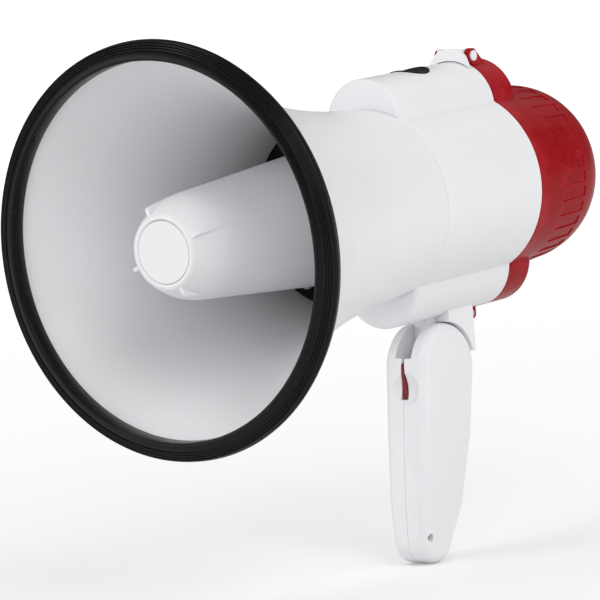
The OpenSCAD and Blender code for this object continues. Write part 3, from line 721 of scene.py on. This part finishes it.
def build_cover():
    """Cover with its lobes, hollow, openings, latch ears, hinge arms and posts."""
    shell = bowl_skin()
    end_fillet = fillet(FLANGE_END_Y, FLANGE_END_Y - LOBE_ROUND, LOBE_ROUND, 10)
    round_end = [(LOBE_R - inset, y) for inset, y in reversed(end_fillet)]
    lobe = [(0, COVER_Y), (LOBE_R - COVER_EDGE, COVER_Y), (LOBE_R, COVER_Y + 0.3)] + round_end
    lobe.append((0, FLANGE_END_Y))
    for s in (-1, 1):
        add(shell, lathe("lobe", lobe, 240, z=s * LOBE_Z))
    for s in (-1, 1):
        cut(shell, rod("lobe_cavity", LOBE_R - WALL, COVER_Y - 2, CAVITY_Y, 160, z=s * LOBE_Z))
    cavity = [(0, COVER_Y - 2), (BODY_R - WALL, COVER_Y - 2), (BODY_R - WALL, CAVITY_Y), (ROOM_R, CAVITY_Y),
              (ROOM_R, ROOM_END_Y), (0, ROOM_END_Y)]
    cut(shell, lathe("cavity", cavity, 240))
    cut(shell, rod("boot_hole", BOOT_HOLE_R, DISH_Y - 5, DISH_Y + 5, 96))
    for x in (-EAR_X, EAR_X):
        outline = arc(LATCH.y, LATCH.z, EAR_R, 50, 250, 20)
        outline += [(LATCH.y + 1, EAR_FOOT_Z), (LATCH.y + 8.1, EAR_FOOT_Z), (LATCH.y + 7.9, EAR_FOOT_Z + 1)]
        add(shell, prism("ear", outline, "X", x - EAR_HALF, x + EAR_HALF))
    for s in (-1, 1):
        x0 = s * ARM_X - ARM_HALF
        x1 = s * ARM_X + ARM_HALF
        arm = lobe_slice("arm", -1, ARM_R, LOBE_R, HINGE.y, BODY_END_Y + 2.0, x0, x1)
        add(arm, bar("arm_knuckle", HINGE.y, HINGE.z, KNUCKLE_R, x0, x1))
        add(arm, box("arm_web", (x0, HINGE.y, HINGE.z), (x1, HINGE.y + KNUCKLE_R, HINGE.z + 2.9)))
        add(shell, arm)
    cut(shell, bar("pin_hole", HINGE.y, HINGE.z, HINGE_HOLE_R, -THROUGH, THROUGH))
    cut(shell, bar("ear_hole", LATCH.y, LATCH.z, SMALL_PIN_HOLE_R, -15, 15, 32))
    cut(shell, rod("knob_hole", KNOB_HOLE_R, 215.0, 226.0, 48, z=KNOB.z))
    for x in (-POST_X, POST_X):
        for z in (-POST_Z, POST_Z):
            add(shell, rod("post", POST_R, 204.9, DISH_Y - 1, 48, x=x, z=z))
    soften(shell, 30, 0.12)
    return piece(shell, "red_plastic", "cover", "rear_cover")


# ---------------------------------------------------------------- handle
# Round sections that the side outline of the grip wraps, from the pivot down: (y, z, radius, half width)
STATIONS = [(PIVOT.y, PIVOT.z, 18.0, 10.0), (159.0, -95.0, 16.4, 10.0), (152.3, -122.0, 13.9, 9.4),
            (147.5, -137.0, 9.8, 8.5)]
RING_POINTS = 300
# The outer edge of a half is rounded over this width, and drawn in this far at the front and at the rear
EDGE_WIDTH = 3.6
EDGE_FRONT = 5.1
EDGE_REAR = 2.2
EDGE_STEPS = 10
SEAM_IN = 0.28
FOLD = math.radians(60)
FORK_HALF = 3.9
PIN_SPOT = (150.4, -70)
STRAP_SPOT = (141.8, -135.6)
STRAP_HOLE_R = 1.6
SCREW_SPOTS = [(168, -92), (153.5, -108), (148.5, -129)]
SCREW_HEAD_R = 2.9
FOLD_HOLE_R = 2.55
# Hollow for the finger in front of the trigger: a ball with this radius
SCOOP_R = 13.2
SCOOP_STEPS = 40


def hull(points):
    """Convex hull, counter-clockwise."""
    pts = sorted(set((round(x, 5), round(y, 5)) for x, y in points))

    def half(seq):
        out = []
        for p in seq:
            while len(out) > 1 and ((out[-1][0] - out[-2][0]) * (p[1] - out[-2][1])
                                    - (out[-1][1] - out[-2][1]) * (p[0] - out[-2][0])) <= 0:
                out.pop()
            out.append(p)
        return out
    low = half(pts)
    high = half(reversed(pts))
    return low[:-1] + high[:-1]


def resample(outline, n):
    """n points equally spaced along a closed outline, from its highest point."""
    top = max(range(len(outline)), key=lambda i: outline[i][1])
    loop = outline[top:] + outline[:top + 1]
    lengths = [0.0]
    for a, b in zip(loop, loop[1:]):
        lengths.append(lengths[-1] + math.dist(a, b))
    out = []
    k = 0
    for i in range(n):
        want = lengths[-1] * i / n
        while lengths[k + 1] < want:
            k += 1
        t = (want - lengths[k]) / max(1e-9, lengths[k + 1] - lengths[k])
        (y0, z0), (y1, z1) = loop[k], loop[k + 1]
        out.append((y0 + (y1 - y0) * t, z0 + (z1 - z0) * t))
    return out


def half_width_at(z):
    """Half width of the handle at a height, straight between the stations."""
    zs = [(s[1], s[3]) for s in STATIONS]
    for (z0, w0), (z1, w1) in zip(zs, zs[1:]):
        if z >= z1:
            return w0 if z >= z0 else w0 + (w1 - w0) * (z0 - z) / (z0 - z1)
    return zs[-1][1]


def side_outline(front_in, rear_in):
    """Outline of the grip in the Y-Z plane, pulled in from the front and from the rear."""
    points = []
    for y, z, r, _ in STATIONS:
        rr = r - (front_in + rear_in) / 2
        cy = y + (front_in - rear_in) / 2
        points += [(cy + rr * math.cos(TAU * i / 360), z + rr * math.sin(TAU * i / 360)) for i in range(360)]
    return resample(hull(points), RING_POINTS)


def grip_half(name, side):
    """One moulded half of the handle, solid; side is -1 or 1."""
    seam = side_outline(SEAM_IN, SEAM_IN)
    flush = side_outline(0.0, 0.0)
    rings = [[(side * 0.02, y, z) for y, z in seam],
             [(side * 0.16, y, z) for y, z in flush],
             [(side * (half_width_at(z) - EDGE_WIDTH) * 0.5, y, z) for y, z in flush]]
    for i in range(EDGE_STEPS + 1):
        a = math.pi / 2 * i / EDGE_STEPS
        drawn_in = 1 - math.cos(a)
        lost = EDGE_WIDTH * (1 - math.sin(a))
        outline = side_outline(EDGE_FRONT * drawn_in, EDGE_REAR * drawn_in)
        rings.append([(side * (half_width_at(z) - lost), y, z) for y, z in outline])
    n = RING_POINTS
    verts = [p for ring in rings for p in ring]
    faces = []
    for i in range(len(rings) - 1):
        for j in range(n):
            k = (j + 1) % n
            faces.append((i * n + j, i * n + k, (i + 1) * n + k, (i + 1) * n + j))
    # Both flat faces are filled with strips between opposite points of their ring
    for base in (0, (len(rings) - 1) * n):
        for j in range(1, n // 2 - 1):
            faces.append((base + j, base + j + 1, base + n - j - 1, base + n - j))
        faces.append((base + n // 2 - 1, base + n // 2, base + n // 2 + 1))
        faces.append((base, base + 1, base + n - 1))
    return link(name, verts, faces, 0.002)


def fork_tool():
    """Space round the bracket between the cheeks of the handle, swept over the whole fold."""
    front = 2.9
    rear = 9.4
    far = 30.0
    c = math.cos(FOLD)
    s = math.sin(FOLD)
    outline = [(rear, 0), (rear + 5, 9), (rear + 5, far), (-front, far), (-far, far),
               (-front * c - far * s, -front * s + far * c), (-front * c, -front * s), (0, 0)]
    slot = prism("fork", [(PIVOT.y + u, PIVOT.z + v) for u, v in outline], "X", -FORK_HALF, FORK_HALF)
    return add(slot, bar("fork_round", PIVOT.y, PIVOT.z, rear, -FORK_HALF, FORK_HALF, 96))


def scoop_tool():
    """Ball that hollows the grip in front of the trigger."""
    angles = [math.pi * i / SCOOP_STEPS for i in range(SCOOP_STEPS + 1)]
    profile = [(SCOOP_R * math.sin(a), 132.8 - SCOOP_R * math.cos(a)) for a in angles]
    return lathe("scoop", profile, 96, x=1.6, z=-74.5, closed=False)


def build_handle():
    """Both halves of the handle with the fork, the trigger's window and pocket, and the holes."""
    window = [(-0.6, -63.6), (0.6, -63.6), (1.7, -80.2), (-1.7, -80.2)]
    for name, side, node in (("grip_half_left", -1, "handle_left"), ("grip_half_right", 1, "handle_right")):
        half = grip_half(name, side)
        cut(half, fork_tool())
        cut(half, prism("window", window, "Y", 130, 150.5))
        cut(half, box("pocket", (-2.7, 147.3, -99.5), (2.7, 154.5, -64.2)))
        cut(half, scoop_tool())
        cut(half, bar("strap_hole", *STRAP_SPOT, STRAP_HOLE_R, -THROUGH, THROUGH, 40))
        cut(half, bar("trigger_pin_hole", *PIN_SPOT, SMALL_PIN_HOLE_R, -6, 6, 24))
        cut(half, bar("fold_pin_hole", PIVOT.y, PIVOT.z, FOLD_HOLE_R, -8.4, 8.4))
        if side < 0:
            for y, z in SCREW_SPOTS:
                cut(half, bar("counterbore", y, z, SCREW_HEAD_R, -THROUGH, -4.6, 40))
        soften(half, 28, 0.25)
        piece(half, "white_plastic", "handle", node)


# ---------------------------------------------------------------- build
build_rim()
build_horn()
build_reflector()
build_body()
build_cover()
build_handle()

SLOT_OF = {s["node"]: s["material_slot"] for s in frame["record"]["subparts"]}
# Rounding of the sharp edges of a CAD node in mm, where it isn't the usual one
EDGE_ROUNDING = {"trigger_spring": 0.0, "mic_grille": 0.08, "volume_knob": 0.08, "latch_lever": 0.35,
                 "handle_bracket": 0.6, "mode_rocker": 0.3, "switch_bezel": 0.25}
USUAL_ROUNDING = 0.12
for node_name, obj in NODES.items():
    # Nodes that a built piece replaces are hidden by now
    if obj.hide_render:
        continue
    dress(obj, SLOT_OF[node_name])
    soften(obj, 30, EDGE_ROUNDING.get(node_name, USUAL_ROUNDING))

# ---------------------------------------------------------------- stage, light and camera
low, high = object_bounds()
CENTRE = (low + high) / 2
FLOOR_Z = low.z - 0.0005
FLOOR_RADIUS = 60.0
FLOOR_SIDES = 96
# Glow of the floor as the camera sees it, near the object and far away, with the two distances in metres
LIFT_NEAR = 0.18
LIFT_FAR = 0.60
LIFT_FROM = 0.25
LIFT_TO = 2.2
# Brightness of the white surroundings for the camera, as light, and in reflections
SEEN_WORLD = 1.0
LIGHT_WORLD = 0.60
MIRRORED_WORLD = 0.16
# Name, azimuth and elevation in degrees, distance and size in metres, power in watts
LIGHTS = [
    ("key_light", 62, 38, 1.8, 1.0, 8.5),
    ("left_fill", -40, 12, 1.8, 1.0, 6.0),
    ("mouth_light", 30, 8, 1.75, 0.7, 1.7),
    ("right_fill", 115, 6, 1.8, 1.0, 5.5),
    ("top_strip", -50, 62, 1.5, 0.35, 2.5),
    ("back_light", 180, 45, 1.8, 1.2, 1.6),
]


def direction(azimuth, elevation):
    """Direction from the object at two angles in degrees; azimuth 0 is in front of the mouth, 90 along +X."""
    a = math.radians(azimuth)
    e = math.radians(elevation)
    return Vector((math.sin(a) * math.cos(e), -math.cos(a) * math.cos(e), math.sin(e)))


def by_ray(tree, seen, light, mirrored):
    """A number with one value for what the camera sees directly and others for light and for reflections."""
    path = tree.nodes.new("ShaderNodeLightPath")
    rest = remap(tree, path.outputs["Is Glossy Ray"], 0.0, 1.0, light, mirrored)
    direct = math_node(tree, "MULTIPLY", path.outputs["Is Camera Ray"], seen)
    indirect = math_node(tree, "SUBTRACT", 1.0, path.outputs["Is Camera Ray"])
    return math_node(tree, "ADD", direct, math_node(tree, "MULTIPLY", indirect, rest))


def build_floor():
    """White paper that keeps a soft shadow near the object and melts into the backdrop far away."""
    verts = [(0, 0, FLOOR_Z)]
    for i in range(FLOOR_SIDES):
        a = TAU * i / FLOOR_SIDES
        verts.append((FLOOR_RADIUS * math.cos(a), FLOOR_RADIUS * math.sin(a), FLOOR_Z))
    faces = [(0, 1 + i, 1 + (i + 1) % FLOOR_SIDES) for i in range(FLOOR_SIDES)]
    mesh = bpy.data.meshes.new("floor")
    mesh.from_pydata(verts, [], faces)
    obj = bpy.data.objects.new("floor", mesh)
    bpy.context.scene.collection.objects.link(obj)
    mat, tree, shader = node_tree("floor_paper")
    coord = tree.nodes.new("ShaderNodeTexCoord").outputs["Object"]
    cloud = remap(tree, noise(tree, coord, 3.0, 4.0), 0.3, 0.7)
    tree.links.new(mix(tree, cloud, (0.84, 0.84, 0.845), (0.86, 0.86, 0.865)), shader.inputs["Base Color"])
    shader.inputs["Roughness"].default_value = 0.9
    shader.inputs["Specular IOR Level"].default_value = 0.1
    shader.inputs["Emission Color"].default_value = (1.0, 1.0, 1.0, 1.0)
    reach = tree.nodes.new("ShaderNodeVectorMath")
    reach.operation = "LENGTH"
    tree.links.new(coord, reach.inputs[0])
    lift = remap(tree, reach.outputs["Value"], LIFT_FROM, LIFT_TO, LIFT_NEAR, LIFT_FAR)
    path = tree.nodes.new("ShaderNodeLightPath")
    glow = math_node(tree, "MULTIPLY", path.outputs["Is Camera Ray"], lift)
    tree.links.new(glow, shader.inputs["Emission Strength"])
    obj.data.materials.append(mat)


def build_light(name, azimuth, elevation, distance, size, power):
    """Square soft light aimed at the middle of the object."""
    away = direction(azimuth, elevation)
    data = bpy.data.lights.new(name, "AREA")
    data.energy = power
    data.size = size
    lamp = bpy.data.objects.new(name, data)
    lamp.location = CENTRE + away * distance
    lamp.rotation_mode = "QUATERNION"
    lamp.rotation_quaternion = (-away).to_track_quat("-Z", "Y")
    bpy.context.scene.collection.objects.link(lamp)


def build_world():
    """White surroundings."""
    world = bpy.data.worlds.new("studio")
    bpy.context.scene.world = world
    world.use_nodes = True
    tree = world.node_tree
    backdrop = tree.nodes["Background"]
    backdrop.inputs["Color"].default_value = (1.0, 1.0, 1.0, 1.0)
    strength = by_ray(tree, SEEN_WORLD, LIGHT_WORLD, MIRRORED_WORLD)
    tree.links.new(strength, backdrop.inputs["Strength"])


build_floor()
for settings in LIGHTS:
    build_light(*settings)
build_world()

# The camera stands in front of the mouth on the object's +X side, turned so that the object's top leans to
# the left. Angles are in degrees, the distance in metres, lens and sensor in millimetres.
AZIMUTH = 39.4
ELEVATION = 5.8
ROLL = 5.85
DISTANCE = 1.7
TARGET = Vector((0, 2.6 * MM, 0))
LENS = 272.5
SENSOR = 36.0
# Where the picture's middle lies from the target, as shares of the picture's width
AIM_RIGHT = 0.2277
AIM_UP = -0.0794


def build_camera():
    """Camera of the photograph's view."""
    azimuth = math.radians(AZIMUTH)
    roll = math.radians(ROLL)
    back = direction(AZIMUTH, ELEVATION)
    level_right = Vector((math.cos(azimuth), math.sin(azimuth), 0))
    level_up = back.cross(level_right)
    right = level_right * math.cos(roll) - level_up * math.sin(roll)
    up = back.cross(right)
    position = TARGET + back * DISTANCE
    forward = (-back + (right * AIM_RIGHT + up * AIM_UP) * (SENSOR / LENS)).normalized()
    side_way = forward.cross(up).normalized()
    true_up = side_way.cross(forward)
    data = bpy.data.cameras.new("camera")
    data.lens = LENS
    data.sensor_width = SENSOR
    data.clip_start = 0.05
    data.clip_end = 60
    camera = bpy.data.objects.new("camera", data)
    camera.matrix_world = Matrix((
        (side_way.x, true_up.x, -forward.x, position.x),
        (side_way.y, true_up.y, -forward.y, position.y),
        (side_way.z, true_up.z, -forward.z, position.z),
        (0, 0, 0, 1)))
    bpy.context.scene.collection.objects.link(camera)
    bpy.context.scene.camera = camera


build_camera()
bpy.context.scene.view_settings.view_transform = "Standard"

bpy.context.view_layer.update()
